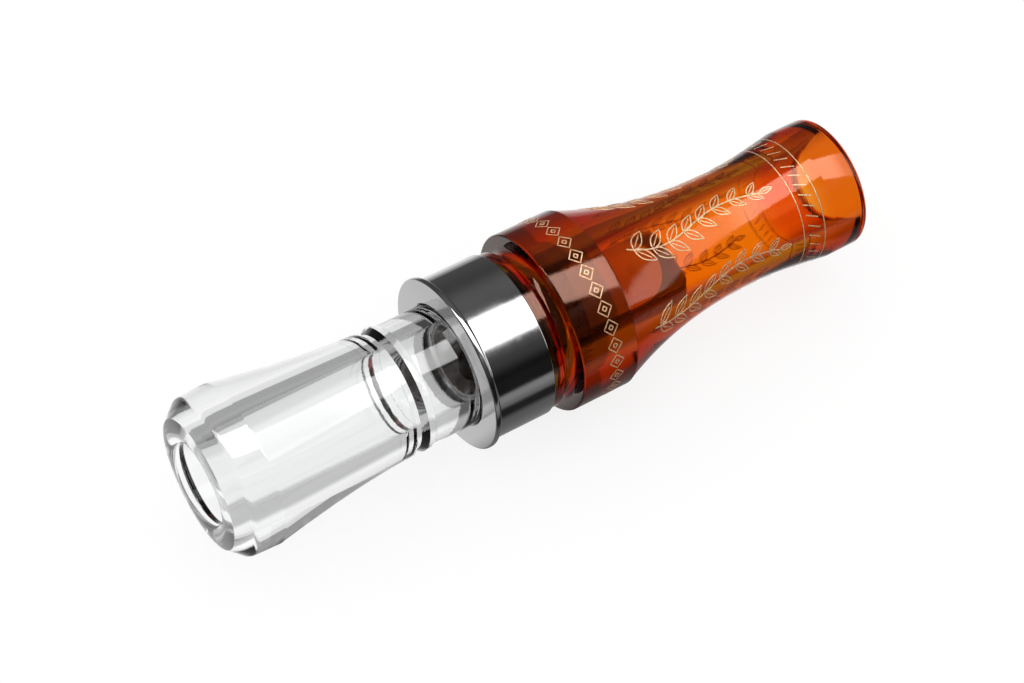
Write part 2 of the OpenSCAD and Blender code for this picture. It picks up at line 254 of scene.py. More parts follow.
class FinishSettings(PropertyGroup):
    """Colours of the materials."""

    clear_tint: colour("Clear Acrylic", "Tint of the insert", (0.965, 0.97, 0.97))
    amber_tint: colour("Amber Acrylic", "Tint at the barrel's surfaces", (0.99, 0.55, 0.1))
    # Painted shade: the darker tint up to the shoulder's end stands in for the dark surroundings seen through
    # the shoulder
    amber_shade: colour("Amber Shade", "Tint where the bar is left thick", (0.27, 0.23, 0.12))
    amber_mouth: colour("Amber Mouth", "Tint at the mouthpiece", (0.8, 0.2, 0.012))
    amber_shine: colour("Amber Shine", "Tint of its reflections", (1.0, 0.55, 0.42))
    # Painted shade at the amber's edges: its tint is multiplied by this colour by the slant at which the
    # edges are seen
    amber_edge: colour("Amber Edge", "What its tint is multiplied by at its edges", (0.26, 0.1, 0.07))
    edge_start: factor("Edge Start", "At what slant the edge's colour starts", 0.28)
    edge_end: factor("Edge End", "At what slant it is full", 0.6)
    amber_depth_colour: colour("Amber Depth", "Colour that thick amber keeps", (0.97, 0.76, 0.25))
    amber_density: factor("Amber Density", "How strongly thick amber takes up light", 400.0, 2000.0)
    # Where that painted shade ends, from the bell's front, and over how long it fades out
    shade_end: length("Shade End", "Where the thick amber's shade ends, from the bell's front", 78.5)
    shade_fade: length("Shade Fade", "Over how long that shade fades out", 0.6)
    mouth_start: length("Mouth Tint Start", "Where the tint turns to the mouthpiece's", 122.0)
    mouth_fade: length("Mouth Tint Fade", "Over how long it turns", 8.0)
    # Where the painted edge shade stops, at the mouthpiece's lip
    lip_start: length("Lip Start", "Where the mouthpiece's edge stays clear", 131.0)
    lip_fade: length("Lip Fade", "Over how long it turns clear", 1.0)
    metal_light: colour("Metal", "Colour of the polished metal", (0.43, 0.425, 0.43))
    metal_dark: colour("Metal Haze", "Colour of its duller places", (0.36, 0.35, 0.36))
    gold_light: colour("Filling", "Colour of the engraving's filling", (0.78, 0.52, 0.3))
    gold_dark: colour("Filling Shade", "Colour of its thin places", (0.5, 0.28, 0.13))
    long_film: colour("Long Reed", "Tint of the long reed's clear film", (0.93, 0.93, 0.9))
    short_film: colour("Short Reed", "Colour of the short reed's milky film", (0.98, 0.96, 0.92))
    board: colour("Tone Board", "Colour of the tone board", (0.045, 0.028, 0.022))
    board_shade: colour("Tone Board Shade", "Colour of its darker streaks", (0.028, 0.018, 0.014))
    # Painted light on the tone board: paler towards its tip under the waist, darker at its front inside the
    # band and shoulder, turning from the board fade on
    board_tip: colour("Tone Board Tip", "Colour of its thin tip", (0.24, 0.13, 0.07))
    board_fade: factor("Tone Board Fade", "Where along the board its colour starts to turn", 0.45)
    cork_light: colour("Cork", "Colour of the cork", (0.62, 0.42, 0.24))
    cork_dark: colour("Cork Grain", "Colour of its dark grain", (0.24, 0.12, 0.05))
    rubber: colour("Rubber", "Colour of the sealing rings", (0.03, 0.03, 0.03))


class StudioSettings(PropertyGroup):
    """The camera, the floor and the light."""

    azimuth: turn("Azimuth", "The camera's direction round the call", -33.1)
    elevation: turn("Elevation", "The camera's height as an angle", 48.19)
    distance: length("Distance", "From the camera to what it looks at", 498.7)
    target: FloatVectorProperty(name="Target", description="The place on the axis's level that it looks at",
                                default=(-4.26 * MM, -1.7 * MM), size=2, precision=5, unit="LENGTH")
    focal_length: FloatProperty(name="Focal Length", description="Lens in millimetres", default=100.0)
    daylight: factor("Daylight", "Level of the plain light all round", 0.95)
    floor_size: length("Floor Size", "Half the floor's width", 3000.0)
    floor_gap: length("Floor Gap", "How far the floor lies below the call", 0.1)
    floor_colour: colour("Floor", "Colour of the floor", (0.2, 0.2, 0.2))
    floor_glow: factor("Floor Glow", "Light that keeps the floor white in the picture", 0.83)
    softbox_level: factor("Softbox", "Level of the softbox in reflections", 9.0, 20.0)


def settings(context):
    """All settings of the bird call in the scene."""
    return context.scene.bird_call


# Shapes


def at(station, radius, angle):
    """A point at a place along the axis, a radius and an angle from the top towards the camera's side."""
    return Vector((FRONT_X + station, -radius * math.sin(angle), AXIS_Z + radius * math.cos(angle)))


def evenly(start, end, steps):
    """Numbers from start to end in even steps, with both ends."""
    return [start + (end - start) * i / steps for i in range(steps + 1)]


def shares(steps):
    """Even shares from 0 to 1."""
    return evenly(0.0, 1.0, steps)


def all_round(steps):
    """Even angles all the way round."""
    return evenly(0.0, 2 * math.pi, steps)[:-1]


def arc(radius, station, size, start, end, steps=EDGE_STEPS):
    """Points of a rounding about a centre, between two angles in degrees, as (radius, station)."""
    angles = [math.radians(a) for a in evenly(start, end, steps)]
    return [(radius + size * math.cos(a), station + size * math.sin(a)) for a in angles]


def sweep(x0, r0, x1, r1, curve):
    """A curve that levels out at its end, without its first point."""
    return [(r1 + (r0 - r1) * (1 - t) ** curve, x0 + (x1 - x0) * t) for t in shares(CURVE_STEPS)[1:]]


def flare(x0, r0, x1, r1, curve):
    """A curve that is level at its start, without its first point."""
    return [(r0 + (r1 - r0) * t ** curve, x0 + (x1 - x0) * t) for t in shares(CURVE_STEPS)[1:]]


def rounded_corner(before, corner, after, size):
    """Points that round a corner, from its own size before it up to the next point."""
    gap = math.dist(before, corner)
    start = [c + (b - c) * size / gap for b, c in zip(before, corner)]
    return [tuple(a * (1 - t) ** 2 + 2 * b * t * (1 - t) + c * t * t
                  for a, b, c in zip(start, corner, after))
            for t in shares(EDGE_STEPS)[:-1]]


def shade(mesh, sharp_angle=SHARP_ANGLE):
    """Shades a mesh smooth, with sharp edges past an angle in degrees."""
    mesh.shade_smooth()
    mesh.set_sharp_from_angle(angle=math.radians(sharp_angle))


def finish_mesh(name, bm, sharp_angle=SHARP_ANGLE):
    """A new object from a bmesh."""
    bmesh.ops.recalc_face_normals(bm, faces=bm.faces)
    mesh = bpy.data.meshes.new(name)
    bm.to_mesh(mesh)
    bm.free()
    shade(mesh, sharp_angle)
    piece = bpy.data.objects.new(name, mesh)
    bpy.context.scene.collection.objects.link(piece)
    return piece


def skin(bm, rings):
    """Joins each ring of points to the next with a belt of faces."""
    for ring, following in zip(rings, rings[1:]):
        for k in range(len(ring)):
            n = (k + 1) % len(ring)
            bm.faces.new((ring[k], ring[n], following[n], following[k]))


def lathe(name, outline):
    """A solid turned about the call's axis from a closed outline of (radius, station) points."""
    bm = bmesh.new()
    rings = [[bm.verts.new(at(station, radius, a)) for a in all_round(ROUND_STEPS)]
             for radius, station in outline]
    skin(bm, rings + rings[:1])
    return finish_mesh(name, bm)


def dress(piece, material, body, slot, *nodes):
    """Gives a piece its material and its body, and hides the nodes that it stands for. The slot is not used.
    """
    piece.data.materials.clear()
    piece.data.materials.append(material)
    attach(piece, body)
    if nodes:
        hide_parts(*nodes)
    return piece


def insert_outline(s):
    """The insert from its rolled lip to the end of its tenon, then back through its bore."""
    bevel_end = s.rim_setback + s.bevel_length
    side_end = bevel_end + s.side_length
    taper_end = side_end + s.taper_length
    middle = (s.exhaust_radius + s.rim_radius) / 2
    half = (s.rim_radius - s.exhaust_radius) / 2
    rise = s.rim_setback - s.exhaust_setback
    points = [(middle - half * math.cos(math.pi * t),
               (s.exhaust_setback + rise * t) * (1 - math.sin(math.pi * t)))
              for t in shares(CURVE_STEPS)]
    bell = across("insert")
    corner = (bell - s.bevel_fall, bevel_end)
    side = flare(bevel_end, bell - s.bevel_fall, side_end, bell, 1 / s.taper_curve)
    side = [point for point in side if point[1] > bevel_end + s.corner_round]
    points += rounded_corner(points[-1], corner, side[0], s.corner_round) + side
    points += sweep(side_end, bell, taper_end, s.taper_end_radius, s.taper_curve)

    crest = taper_end + s.groove_width + s.bead_width * BEAD_CREST_SHARE
    back = s.bead_width * (1 - BEAD_CREST_SHARE)
    drop = s.bead_radius - s.neck_radius
    points += [(s.groove_radius + FINE, taper_end + FINE), (s.bead_foot, taper_end + EDGE)]
    points += [(s.bead_foot, crest - s.bead_ramp)]
    points += [(s.neck_radius + drop * math.cos(a), crest + back * math.sin(a))
               for a in evenly(0.0, math.pi / 2, 2 * EDGE_STEPS)]

    stop = BARREL_START - TOUCH
    points += [(s.neck_radius, stop - FINE), (s.neck_radius - FINE, stop), (s.tenon_radius, stop)]
    for ring in ("front_o_ring", "rear_o_ring"):
        centre = (BOX[ring][0].x + BOX[ring][1].x) / 2 - FRONT_X
        start, end = centre - s.seal_groove_width / 2, centre + s.seal_groove_width / 2
        points += [(s.tenon_radius, start), (s.seal_floor_radius, start)]
        points += [(s.seal_floor_radius, end), (s.tenon_radius, end)]
    points += [(s.tenon_radius, TENON_END - EDGE), (s.tenon_radius - EDGE, TENON_END)]
    points += [(s.spigot_radius, TENON_END), (s.spigot_radius, SPIGOT_START)]
    return points + [(s.exhaust_radius, SPIGOT_START)]


def barrel_places(s):
    """Where the barrel's shoulder starts and ends, and its waist and mouthpiece lie."""
    shoulder = BAND_END + s.land_length + s.groove_width
    shoulder_end = shoulder + s.shoulder_length
    waist = shoulder_end + s.waist_run
    return shoulder, shoulder_end, waist, waist + s.flare_run


def barrel_outline(s, shoulder_radius):
    """The barrel's outside from the band's seat to the mouthpiece, then back through the bore."""
    shoulder, shoulder_end, waist, mouth = barrel_places(s)
    half = s.groove_width / 2
    socket_end = BARREL_START + s.socket_length
    wide_end = BARREL_END - s.mouth_bore_length
    points = [(s.seat_radius - FINE, BARREL_START), (s.seat_radius, BARREL_START + FINE)]
    points += [(s.seat_radius, BAND_END), (s.land_radius, BAND_END)]
    points += arc(s.land_radius, shoulder - half, half, -90, -270, 4 * EDGE_STEPS)
    points += arc(shoulder_radius - EDGE, shoulder + EDGE, EDGE, -90, 0)
    points += arc(shoulder_radius - FINE, shoulder_end - FINE, FINE, 0, 60)
    rounded = points[-1][0]
    points += sweep(shoulder_end, rounded, waist, s.waist_radius, s.waist_curve)
    points += flare(waist, s.waist_radius, mouth, s.mouth_radius, s.flare_curve)
    points += arc(s.mouth_radius - s.outer_lip, BARREL_END - s.outer_lip, s.outer_lip, 0, 90)
    points += arc(s.mouth_bore_radius + s.inner_lip, BARREL_END - s.inner_lip, s.inner_lip, 90, 180)
    points += [(s.mouth_bore_radius, wide_end), (s.bore_radius, wide_end - s.mouth_bore_taper)]
    points += [(s.bore_radius, socket_end + s.socket_radius - s.bore_radius), (s.socket_radius, socket_end)]
    return points + [(s.socket_radius, BARREL_START + EDGE), (s.socket_radius + EDGE, BARREL_START)]


def barrel_radius(s, shoulder_radius, station):
    """The barrel's outer radius at a place behind its lanyard groove."""
    shoulder_end, waist, mouth = barrel_places(s)[1:]
    if station < shoulder_end:
        return shoulder_radius
    if station < waist:
        share = (station - shoulder_end) / s.waist_run
        return s.waist_radius + (shoulder_radius - s.waist_radius) * (1 - share) ** s.waist_curve
    share = min(1.0, (station - waist) / s.flare_run)
    return s.waist_radius + (s.mouth_radius - s.waist_radius) * share ** s.flare_curve


def band_outline(s, seat_radius):
    """The band from its hole over the flange and the ring, then back along its inside."""
    flange = across("band")
    behind = BAND_START + s.flange_thickness
    points = [(s.hole_radius + FINE, BAND_START)]
    points += arc(flange - EDGE, BAND_START + EDGE, EDGE, -90, 0)
    points += arc(flange - EDGE, behind - EDGE, EDGE, 0, 90)
    points += arc(s.ring_radius + s.fillet, behind + s.fillet, s.fillet, -90, -180)
    points += arc(s.ring_radius - FINE, BAND_END - FINE, FINE, 0, 90)
    points += [(seat_radius, BAND_END), (seat_radius, BARREL_START)]
    return points + [(s.hole_radius, BARREL_START), (s.hole_radius, BAND_START + FINE)]


def tongue(x0, x1, width, corner):
    """The plan of a flat tongue with a rounded free end, as (station, place across it)."""
    half = width / 2
    near = arc(x1 - corner, corner - half, corner, -90, 0, 2 * EDGE_STEPS)
    far = arc(x1 - corner, half - corner, corner, 0, 90, 2 * EDGE_STEPS)
    return [(x0, -half)] + near + far + [(x0, half)]


def reed_mesh(name, node, corner):
    """A film reed with eased edges that fills its node's box."""
    low, high = BOX[node]
    plan = tongue(low.x - FRONT_X, high.x - FRONT_X, high.y - low.y, corner)
    bm = bmesh.new()
    face = bm.faces.new([bm.verts.new((FRONT_X + x, y, low.z)) for x, y in plan])
    grown = bmesh.ops.extrude_face_region(bm, geom=[face])
    for v in grown["geom"]:
        if isinstance(v, bmesh.types.BMVert):
            v.co.z = high.z
    thickness = high.z - low.z
    rims = [e for e in bm.edges if abs(e.verts[0].co.z - e.verts[1].co.z) < thickness / 2]
    bmesh.ops.bevel(bm, geom=rims, offset=thickness * FILM_EASE_SHARE, segments=2, affect="EDGES")
    return finish_mesh(name, bm)


def dent(piece, centre, radius):
    """Presses a ball into a piece and leaves its round dent."""
    bm = bmesh.new()
    bmesh.ops.create_icosphere(bm, subdivisions=4, radius=radius, matrix=Matrix.Translation(centre))
    ball = finish_mesh(piece.name + "_ball", bm)
    cut = piece.modifiers.new("Dent", "BOOLEAN")
    cut.operation = "DIFFERENCE"
    cut.object = ball
    bpy.context.view_layer.update()
    graph = bpy.context.evaluated_depsgraph_get()
    mesh = bpy.data.meshes.new_from_object(piece.evaluated_get(graph))
    piece.modifiers.clear()
    piece.data = mesh
    shade(mesh)
    bpy.data.objects.remove(ball)


def wedge_mesh(name, s):
    """The cork wedge: round on top, nearly flat below, with many shallow and a few deep dents."""
    low, high = BOX["wedge"]
    radius = high.z - AXIS_Z
    level = low.z - AXIS_Z
    along, over, under = 22, 40, 20
    chance = random.Random(CORK_SEED)
    bm = bmesh.new()
    rings = []
    for share in shares(along):
        x = low.x + (high.x - low.x) * share
        base = level + s.wedge_relief * (1 - share)
        side = math.acos(base / radius)
        half = math.sqrt(radius ** 2 - base ** 2)
        ring = [(radius * math.sin(a), radius * math.cos(a)) for a in evenly(side, -side, over)]
        ring += [(y, base) for y in evenly(-half, half, under)[1:-1]]
        kept = [1 - chance.random() ** 3 * s.cork_relief / radius for _ in ring]
        rings.append([bm.verts.new((x, y * k, AXIS_Z + base + (z - base) * k))
                      for (y, z), k in zip(ring, kept)])
    skin(bm, rings)
    bm.faces.new(rings[0])
    bm.faces.new(rings[-1])
    return finish_mesh(name, bm, CORK_SHARP_ANGLE)


# Materials


# How much of its brightness smeared film keeps, and how much paler bloomed rubber is
SMEARED_SHARE = 0.92
BLOOM_TIMES = 3


class Nodes:
    """A node tree with short ways to add nodes and to feed them."""

    def __init__(self, tree):
        self.tree = tree

    def add(self, kind, **options):
        """A new node with its options set."""
        node = self.tree.nodes.new(kind)
        for key, value in options.items():
            setattr(node, key, value)
        return node

    def feed(self, socket, value):
        """Links a socket, or sets a plain value. A plain colour gets full alpha."""
        if isinstance(value, bpy.types.NodeSocket):
            self.tree.links.new(value, socket)
        elif socket.type == "RGBA":
            socket.default_value = (*value, 1.0)
        else:
            socket.default_value = value

    def fill(self, node, **inputs):
        """Feeds a node's inputs by their names, with _ for each space."""
        for label, value in inputs.items():
            self.feed(node.inputs[label.replace("_", " ")], value)
        return node

    def group(self, tree, **inputs):
        """Places a node group and gives its outputs."""
        return self.fill(self.add("ShaderNodeGroup", node_tree=tree), **inputs).outputs

    def place(self, kind="Object"):
        """Where a point lies on its piece."""
        return self.add("ShaderNodeTexCoord").outputs[kind]

    def axes(self, vector):
        """A vector's parts along X, Y and Z."""
        return self.fill(self.add("ShaderNodeSeparateXYZ"), Vector=vector).outputs

    def maths(self, operation, *values):
        node = self.add("ShaderNodeMath", operation=operation)
        for socket, value in zip(node.inputs, values):
            self.feed(socket, value)
        return node.outputs[0]

    def product(self, total, *others):
        for value in others:
            total = self.maths("MULTIPLY", total, value)
        return total

    def ranged(self, value, low=0.0, high=1.0, to=(0.0, 1.0), smooth=False):
        """Stretches a value's range to another one, and holds it at both ends."""
        node = self.add("ShaderNodeMapRange", interpolation_type="SMOOTHSTEP" if smooth else "LINEAR")
        self.fill(node, Value=value, From_Min=low, From_Max=high, To_Min=to[0], To_Max=to[1])
        return node.outputs["Result"]

    def levels(self, value, stops):
        """Goes smoothly through stops of (value, level)."""
        total = stops[0][1]
        for (start, low), (end, high) in zip(stops, stops[1:]):
            step = self.ranged(value, start, end, (0.0, high - low), smooth=True)
            total = self.maths("ADD", total, step)
        return total

    def mixed(self, share, first, second, kind="RGBA", blend="MIX"):
        """A blend from the first colour to the second, by a share from 0 to 1."""
        node = self.add("ShaderNodeMix", data_type=kind, blend_type=blend)
        return self.fill(node, Factor=share, A=first, B=second).outputs["Result"]

    def choose(self, share, first, second):
        """A blend from the first number to the second, which is a choice when the share is 0 or 1."""
        return self.mixed(share, first, second, kind="FLOAT")

    def noise(self, vector, scale, detail=2.0, roughness=0.5):
        node = self.add("ShaderNodeTexNoise")
        self.fill(node, Vector=vector, Scale=scale, Detail=detail, Roughness=roughness)
        return node.outputs["Fac"]

    def bump(self, height, strength, distance):
        """A normal from a height, with the bump's strength and its depth in metres."""
        node = self.add("ShaderNodeBump")
        return self.fill(node, Height=height, Strength=strength, Distance=distance).outputs["Normal"]


def new_group(name, inputs, outputs):
    """An empty node group with float inputs, given as name and default, and float outputs."""
    tree = bpy.data.node_groups.new(name, "ShaderNodeTree")
    for label, value in inputs:
        socket = tree.interface.new_socket(name=label, in_out="INPUT", socket_type="NodeSocketFloat")
        socket.default_value = value
    for label in outputs:
        tree.interface.new_socket(name=label, in_out="OUTPUT", socket_type="NodeSocketFloat")
    nodes = Nodes(tree)
    return nodes, nodes.add("NodeGroupInput").outputs, nodes.add("NodeGroupOutput")


def turning_marks():
    """Group: fine rings that a lathe leaves across the axis, and the soft waves of hand polishing."""
    name = "Turning Marks"
    if name in bpy.data.node_groups:
        return bpy.data.node_groups[name]
    nodes, given, result = new_group(
        name, (("Ring Density", 4000.0), ("Wave Scale", 90.0), ("Ring Share", 0.5)), ("Height", "Mask"))
    place = nodes.place()
    rings = nodes.add("ShaderNodeTexNoise", noise_dimensions="1D")
    nodes.fill(rings, W=nodes.product(nodes.axes(place)["X"], given["Ring Density"]), Scale=1.0, Detail=3.0)
    waves = nodes.noise(place, given["Wave Scale"], detail=1.0)
    ring_part = nodes.product(rings.outputs["Fac"], given["Ring Share"])
    wave_part = nodes.product(waves, nodes.maths("SUBTRACT", 1.0, given["Ring Share"]))
    both = nodes.product(rings.outputs["Fac"], waves)
    nodes.fill(result, Height=nodes.maths("ADD", ring_part, wave_part),
               Mask=nodes.ranged(both, low=0.15, high=0.4))
    return nodes.tree


def handling_wear():
    """Group: masks of faint smears and of tiny scratches from handling."""
    name = "Handling Wear"
    if name in bpy.data.node_groups:
        return bpy.data.node_groups[name]
    nodes, given, result = new_group(
        name, (("Smear Scale", 60.0), ("Scratch Scale", 700.0)), ("Smears", "Scratches"))
    place = nodes.place()
    smears = nodes.noise(place, given["Smear Scale"], detail=4.0)
    stretch = nodes.fill(nodes.add("ShaderNodeMapping"), Vector=place, Scale=(1.0, 0.08, 0.08))
    scratches = nodes.noise(stretch.outputs["Vector"], given["Scratch Scale"])
    nodes.fill(result, Smears=nodes.ranged(smears, low=0.45, high=0.7, smooth=True),
               Scratches=nodes.ranged(scratches, low=0.6, high=0.75))
    return nodes.tree


def new_material(name):
    """A material with its nodes, its Principled BSDF and its output."""
    material = bpy.data.materials.new(name)
    material.use_nodes = True
    tree = material.node_tree
    return material, Nodes(tree), tree.nodes["Principled BSDF"], tree.nodes["Material Output"]


def acrylic(name, tint, ring_density, bump_strength):
    """Polished cast acrylic: clear through, with faint lathe rings and smears."""
    material, nodes, shader, output = new_material(name)
    marks = nodes.group(turning_marks(), Ring_Density=ring_density, Wave_Scale=70.0, Ring_Share=0.35)
    wear = nodes.group(handling_wear())
    haze = nodes.product(marks["Mask"], wear["Smears"])
    nodes.fill(shader, Base_Color=tint, Transmission_Weight=1.0, IOR=1.49,
               Roughness=nodes.ranged(haze, to=(0.0, 0.025)),
               Normal=nodes.bump(marks["Height"], bump_strength, distance=0.06 * MM))
    return material, nodes, shader, output


def clear_acrylic(f):
    """Water-clear acrylic of the insert."""
    return acrylic("Clear Acrylic", f.clear_tint, ring_density=2500.0, bump_strength=0.12)[0]


def amber_acrylic(f):
    """Amber acrylic with painted shade: brown up to its shoulder and bright behind it, darker at its edges by
    the slant they are seen at, and deeper in tint at the mouth.
    """
    material, nodes, shader, output = acrylic(
        "Amber Acrylic", f.amber_tint, ring_density=5200.0, bump_strength=0.2)
    x = nodes.axes(nodes.place())["X"]

    def behind(place, fade):
        start = FRONT_X + place - fade / 2
        return nodes.ranged(x, start, start + fade, smooth=True)

    # Painted shade up to the shoulder's end, then the mouthpiece's deeper tint
    tone = nodes.mixed(behind(f.shade_end, f.shade_fade), f.amber_shade, f.amber_tint)
    tone = nodes.mixed(behind(f.mouth_start, f.mouth_fade), tone, f.amber_mouth)
    # Painted shade at the edges, by the slant at which they are seen; not on the lip, and not after a diffuse
    # bounce
    facing = nodes.fill(nodes.add("ShaderNodeLayerWeight"), Blend=0.5).outputs["Facing"]
    edge = nodes.ranged(facing, f.edge_start, f.edge_end, smooth=True)
    before_lip = nodes.maths("SUBTRACT", 1.0, behind(f.lip_start, f.lip_fade))
    depth = nodes.add("ShaderNodeLightPath").outputs["Diffuse Depth"]
    not_on_floor = nodes.maths("LESS_THAN", depth, 0.5)
    edge = nodes.product(edge, before_lip, not_on_floor)
    nodes.fill(shader, Base_Color=nodes.mixed(edge, tone, f.amber_edge, blend="MULTIPLY"),
               Specular_IOR_Level=1.0, Specular_Tint=f.amber_shine)
    thick = nodes.add("ShaderNodeVolumeAbsorption")
    nodes.fill(thick, Color=f.amber_depth_colour, Density=f.amber_density)
    nodes.fill(output, Volume=thick.outputs["Volume"])
    return material


def board_plastic(f):
    """Smoky moulded plastic of the tone board, finely satined, with painted light: paler towards its tip,
    which lies under the waist, and darker at its front inside the band and shoulder.
    """
    material, nodes, shader, _ = new_material("Tone Board Plastic")
    marks = nodes.group(turning_marks(), Ring_Density=9000.0, Wave_Scale=400.0, Ring_Share=0.2)
    # Painted light: paler towards the tip, darker at the front in the shade inside the band and shoulder
    thin = nodes.ranged(nodes.axes(nodes.place("Generated"))["X"], f.board_fade, smooth=True)
    tone = nodes.mixed(marks["Mask"], f.board, f.board_shade)
    nodes.fill(shader, Base_Color=nodes.mixed(thin, tone, f.board_tip), IOR=1.58,
               Roughness=nodes.ranged(marks["Mask"], to=(0.18, 0.34)),
               Normal=nodes.bump(marks["Height"], strength=0.15, distance=0.1 * MM))
    return material


def reed_film(name, tint, clearness):
    """Polyester film of the reeds, clear or milky."""
    material, nodes, shader, _ = new_material(name)
    wear = nodes.group(handling_wear(), Smear_Scale=300.0, Scratch_Scale=1800.0)
    smeared = [part * SMEARED_SHARE for part in tint]
    nodes.fill(shader, Base_Color=nodes.mixed(wear["Smears"], tint, smeared),
               Transmission_Weight=clearness, IOR=1.57, Specular_IOR_Level=0.08,
               Roughness=nodes.ranged(wear["Scratches"], to=(0.4, 0.55)),
               Normal=nodes.bump(wear["Scratches"], strength=0.1, distance=0.05 * MM))
    return material


def polished_metal(f):
    """Bright turned metal with fine rings across its shine."""
    material, nodes, shader, _ = new_material("Polished Metal")
    marks = nodes.group(turning_marks(), Ring_Density=7000.0, Wave_Scale=50.0, Ring_Share=0.8)
    wear = nodes.group(handling_wear(), Smear_Scale=120.0)
    haze = nodes.ranged(marks["Mask"], to=(0.0, 0.5))
    dull_rings = nodes.ranged(marks["Mask"], to=(0.06, 0.14))
    dull_smears = nodes.ranged(wear["Smears"], to=(0.0, 0.05))
    nodes.fill(shader, Base_Color=nodes.mixed(haze, f.metal_light, f.metal_dark), Metallic=1.0,
               Roughness=nodes.maths("ADD", dull_rings, dull_smears),
               Normal=nodes.bump(marks["Height"], strength=0.25, distance=0.04 * MM))
    return material


def wedge_cork(f):
    """Natural cork: pale, with dark grain and small open pores."""
    material, nodes, shader, _ = new_material("Wedge Cork")
    place = nodes.place()
    grain = nodes.noise(place, 900.0, detail=5.0, roughness=0.65)
    cells = nodes.fill(nodes.add("ShaderNodeTexVoronoi"), Vector=place, Scale=1500.0)
    pores = nodes.ranged(cells.outputs["Distance"], low=0.05, high=0.3)
    dark = nodes.ranged(grain, low=0.48, high=0.68, smooth=True)
    tone = nodes.mixed(dark, f.cork_light, f.cork_dark)
    nodes.fill(shader, Base_Color=nodes.mixed(pores, f.cork_dark, tone),
               Roughness=nodes.ranged(grain, low=0.3, high=0.7, to=(0.7, 0.95)),
               Normal=nodes.bump(nodes.product(pores, grain), strength=0.6, distance=0.2 * MM))
    return material


def seal_rubber(f):
    """Smooth black rubber with a faint bloom."""
    material, nodes, shader, _ = new_material("Seal Rubber")
    wear = nodes.group(handling_wear(), Smear_Scale=500.0, Scratch_Scale=2500.0)
    bloomed = [part * BLOOM_TIMES for part in f.rubber]
    bloom = nodes.mixed(nodes.ranged(wear["Smears"], to=(0.0, 0.35)), f.rubber, bloomed)
    nodes.fill(shader, Base_Color=bloom, Roughness=nodes.ranged(wear["Smears"], to=(0.35, 0.6)),
               Normal=nodes.bump(wear["Scratches"], strength=0.1, distance=0.05 * MM))
    return material


def gold_filling(f):
    """Pale gold paint that fills the engraved lines, thin in places."""
    material, nodes, shader, _ = new_material("Gold Filling")
    grain = nodes.noise(nodes.place(), 2600.0, detail=4.0, roughness=0.7)
    thin = nodes.ranged(grain, low=0.45, high=0.65, smooth=True)
    nodes.fill(shader, Base_Color=nodes.mixed(thin, f.gold_light, f.gold_dark), Metallic=0.35,
               Roughness=nodes.ranged(grain, low=0.3, high=0.7, to=(0.35, 0.6)),
               Normal=nodes.bump(grain, strength=0.5, distance=0.1 * MM))
    return material


# Engraving


# A line's section, as shares of half its width and of its rise, and how wide the figures' lines are
LINE_SECTION = ((-1.0, -1.0), (-0.7, 0.6), (0.0, 0.95), (0.7, 0.6), (1.0, -1.0))
RING_LINE, LOZENGE_LINE, LEAF_LINE, MIDRIB_LINE, STROKE_LINE = 0.8, 0.9, 0.85, 0.7, 0.9
# Shares that give the figures their form
LOZENGE_SHARES = (0.44, 0.14)
LEAF_FULLNESS = 0.2
LEAF_SWELL = 0.8
MIDRIB_SHARES = (0.12, 0.4, 0.75)
FIRST_LEAF_SHARE = 0.4
STROKE_SLANT = 0.25


